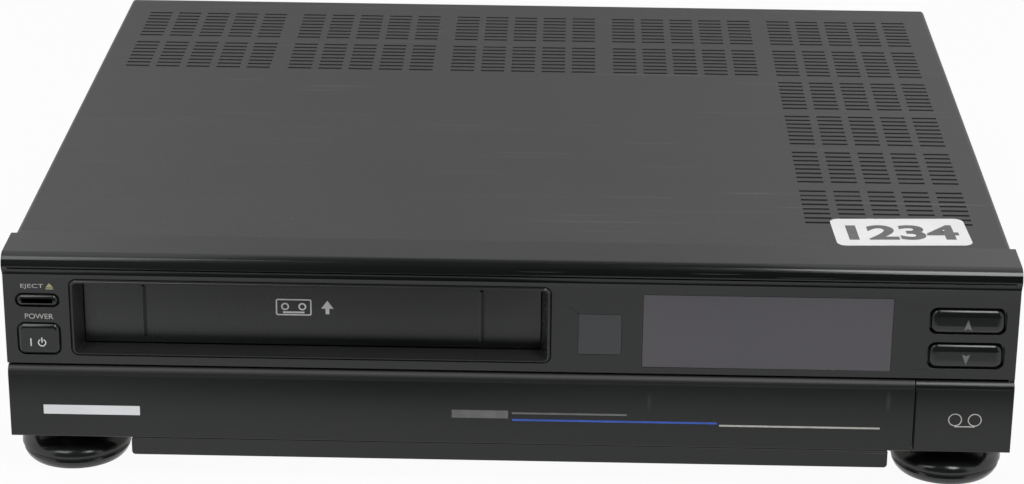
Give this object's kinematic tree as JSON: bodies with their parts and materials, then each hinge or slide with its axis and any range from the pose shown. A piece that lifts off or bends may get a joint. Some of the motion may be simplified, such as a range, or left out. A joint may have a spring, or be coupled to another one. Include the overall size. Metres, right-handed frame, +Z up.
{
  "type": "vhs video cassette recorder",
  "caption": "Front-loading VHS cassette recorder: slotted steel cover, drop-down control door, sprung cassette flap, tape deck with spinning drum, boards and rear sockets.",
  "frame": {"origin": "on the resting plane under the feet, at the middle of the box round the machine", "axes": "+Z up, +X to the right seen from the front, +Y from the fascia to the rear panel"},
  "size_m": [0.42, 0.364, 0.0995],
  "materials": {
    "cover_paint": "dark grey satin paint on steel",
    "fascia": "black satin moulding",
    "door": "black satin moulding",
    "frame_trim": "black gloss moulding",
    "display_pane": "smoked pane",
    "remote_pane": "dark infra-red pane",
    "keys": "black satin keys",
    "deck_keys": "dark grey keys",
    "feet": "black gloss moulding",
    "rear_feet": "black rubber",
    "zinc_sheet": "zinc-plated sheet",
    "rear_paint": "black paint on steel",
    "screws": "blackened screws",
    "steel_shafts": "ground steel",
    "drums": "fine-turned aluminium",
    "sink": "extruded aluminium",
    "cans": "tinned sheet",
    "boards": "brown paper-phenolic board",
    "parts_black": "black moulded packages",
    "transformer": "varnished laminations",
    "reels": "white acetal",
    "guides": "die-cast bases with steel posts",
    "tyres": "black rubber",
    "tube": "clear glass"
  },
  "bodies": {
    "chassis": {"base_pan": "zinc_sheet", "top_cover": "cover_paint", "front_bezel": "fascia", "slot_frame": "frame_trim", "display_window": "display_pane", "remote_window": "remote_pane", "display_tube": "tube", "front_boards": "boards", "front_switches": "parts_black", "front_feet": "feet", "rear_feet": "rear_feet", "rear_panel": "rear_paint", "scart_sockets": "parts_black", "aerial_block": "cans", "audio_sockets": "parts_black", "mains_inlet": "parts_black", "cover_screws": "screws", "main_board": "boards", "pillars": "steel_shafts", "power_transformer": "transformer", "heat_sink": "sink", "capacitors": "parts_black", "circuit_chips": "parts_black", "shield_cans": "cans", "deck_plate": "zinc_sheet", "deck_shafts": "steel_shafts", "lower_drum": "drums", "capstan_bearing": "zinc_sheet", "erase_head": "cans", "audio_head": "cans", "carriage_frame": "zinc_sheet", "loading_motor": "cans"},
    "door": {"front_door": "door", "door_hinge_pins": "steel_shafts"},
    "flap": {"cassette_flap": "fascia"},
    "eject_button": {"eject_button": "keys"},
    "power_button": {"power_button": "keys"},
    "channel_up_button": {"channel_up_button": "keys"},
    "channel_down_button": {"channel_down_button": "keys"},
    "rewind_key": {"rewind_key": "deck_keys"},
    "play_key": {"play_key": "deck_keys"},
    "forward_key": {"forward_key": "deck_keys"},
    "record_key": {"record_key": "deck_keys"},
    "pause_key": {"pause_key": "deck_keys"},
    "stop_key": {"stop_key": "deck_keys"},
    "tracking_knob": {"tracking_knob": "deck_keys"},
    "upper_drum": {"upper_drum": "drums"},
    "capstan": {"capstan": "steel_shafts"},
    "supply_reel": {"supply_reel": "reels"},
    "takeup_reel": {"takeup_reel": "reels"},
    "idler_arm": {"idler_arm": "zinc_sheet"},
    "idler_wheel": {"idler_wheel": "tyres"},
    "pinch_arm": {"pinch_arm": "zinc_sheet"},
    "pinch_roller": {"pinch_roller": "tyres"},
    "supply_guide": {"supply_guide": "guides"},
    "takeup_guide": {"takeup_guide": "guides"},
    "cam_gear": {"cam_gear": "reels"},
    "loading_worm": {"loading_worm": "reels"},
    "basket_slides": {"basket_slides": "zinc_sheet"},
    "cassette_basket": {"cassette_basket": "zinc_sheet"}
  },
  "joints": [
    {"name": "door_hinge", "type": "hinge", "parent": "chassis", "child": "door", "pos_m": [0, -0.1788, 0.0202], "axis": [1, 0, 0], "range_deg": [0, 90]},
    {"name": "flap_hinge", "type": "hinge", "parent": "chassis", "child": "flap", "pos_m": [-0.0828, -0.1684, 0.0849], "axis": [1, 0, 0], "range_deg": [0, 88], "stiffness_Nm_per_rad": 0.003, "springref_deg": -11.46},
    {"name": "eject_button_press", "type": "slide", "parent": "chassis", "child": "eject_button", "axis": [0, 1, 0], "range_m": [0, 0.001], "stiffness_N_per_m": 400, "springref_m": -0.0005},
    {"name": "power_button_press", "type": "slide", "parent": "chassis", "child": "power_button", "axis": [0, 1, 0], "range_m": [0, 0.001], "stiffness_N_per_m": 400, "springref_m": -0.0005},
    {"name": "channel_up_button_press", "type": "slide", "parent": "chassis", "child": "channel_up_button", "axis": [0, 1, 0], "range_m": [0, 0.001], "stiffness_N_per_m": 400, "springref_m": -0.0005},
    {"name": "channel_down_button_press", "type": "slide", "parent": "chassis", "child": "channel_down_button", "axis": [0, 1, 0], "range_m": [0, 0.001], "stiffness_N_per_m": 400, "springref_m": -0.0005},
    {"name": "rewind_key_press", "type": "slide", "parent": "chassis", "child": "rewind_key", "axis": [0, 1, 0], "range_m": [0, 0.001], "stiffness_N_per_m": 400, "springref_m": -0.0005},
    {"name": "play_key_press", "type": "slide", "parent": "chassis", "child": "play_key", "axis": [0, 1, 0], "range_m": [0, 0.001], "stiffness_N_per_m": 400, "springref_m": -0.0005},
    {"name": "forward_key_press", "type": "slide", "parent": "chassis", "child": "forward_key", "axis": [0, 1, 0], "range_m": [0, 0.001], "stiffness_N_per_m": 400, "springref_m": -0.0005},
    {"name": "record_key_press", "type": "slide", "parent": "chassis", "child": "record_key", "axis": [0, 1, 0], "range_m": [0, 0.001], "stiffness_N_per_m": 400, "springref_m": -0.0005},
    {"name": "pause_key_press", "type": "slide", "parent": "chassis", "child": "pause_key", "axis": [0, 1, 0], "range_m": [0, 0.001], "stiffness_N_per_m": 400, "springref_m": -0.0005},
    {"name": "stop_key_press", "type": "slide", "parent": "chassis", "child": "stop_key", "axis": [0, 1, 0], "range_m": [0, 0.001], "stiffness_N_per_m": 400, "springref_m": -0.0005},
    {"name": "tracking_turn", "type": "hinge", "parent": "chassis", "child": "tracking_knob", "pos_m": [0.06, -0.169, 0.0355], "axis": [0, 1, 0], "range_deg": [-140, 140]},
    {"name": "drum_spin", "type": "hinge", "parent": "chassis", "child": "upper_drum", "pos_m": [-0.0828, 0.004, 0.034], "axis": [0, -0.0976, 0.9952], "continuous": true},
    {"name": "capstan_spin", "type": "hinge", "parent": "chassis", "child": "capstan", "pos_m": [-0.0268, -0.03, 0.034], "axis": [0, 0, 1], "continuous": true},
    {"name": "supply_spin", "type": "hinge", "parent": "chassis", "child": "supply_reel", "pos_m": [-0.1289, -0.096, 0.034], "axis": [0, 0, 1], "continuous": true},
    {"name": "takeup_spin", "type": "hinge", "parent": "chassis", "child": "takeup_reel", "pos_m": [-0.0367, -0.096, 0.034], "axis": [0, 0, 1], "continuous": true},
    {"name": "idler_swing", "type": "hinge", "parent": "chassis", "child": "idler_arm", "pos_m": [-0.0828, -0.07, 0.034], "axis": [0, 0, 1], "range_deg": [-7.5, 7.5]},
    {"name": "idler_spin", "type": "hinge", "parent": "idler_arm", "child": "idler_wheel", "pos_m": [-0.0828, -0.098, 0.034], "axis": [0, 0, 1], "continuous": true},
    {"name": "pinch_swing", "type": "hinge", "parent": "chassis", "child": "pinch_arm", "pos_m": [0.0012, -0.022, 0.034], "axis": [0, 0, 1], "range_deg": [0, 25]},
    {"name": "pinch_spin", "type": "hinge", "parent": "pinch_arm", "child": "pinch_roller", "pos_m": [-0.01932, -0.01408, 0.034], "axis": [0, 0, 1], "continuous": true},
    {"name": "supply_guide_thread", "type": "slide", "parent": "chassis", "child": "supply_guide", "axis": [-0.1644, 0.9864, 0], "range_m": [0, 0.07299]},
    {"name": "takeup_guide_thread", "type": "slide", "parent": "chassis", "child": "takeup_guide", "axis": [0.1644, 0.9864, 0], "range_m": [0, 0.07299]},
    {"name": "cam_turn", "type": "hinge", "parent": "chassis", "child": "cam_gear", "pos_m": [-0.1708, 0.033, 0.034], "axis": [0, 0, 1], "range_deg": [0, 180]},
    {"name": "worm_turn", "type": "hinge", "parent": "chassis", "child": "loading_worm", "pos_m": [-0.1708, 0.0533, 0.0415], "axis": [1, 0, 0], "range_deg": [0, 4320]},
    {"name": "carriage_in", "type": "slide", "parent": "chassis", "child": "basket_slides", "axis": [0, 1, 0], "range_m": [0, 0.046]},
    {"name": "carriage_down", "type": "slide", "parent": "basket_slides", "child": "cassette_basket", "axis": [0, 0, -1], "range_m": [0, 0.0153]}
  ],
  "couplings": [
    {"joint": "supply_guide_thread", "follows": "cam_turn", "m_per_rad": 0.02292},
    {"joint": "takeup_guide_thread", "follows": "cam_turn", "m_per_rad": 0.02292},
    {"joint": "worm_turn", "follows": "cam_turn", "ratio": 24}
  ]
}
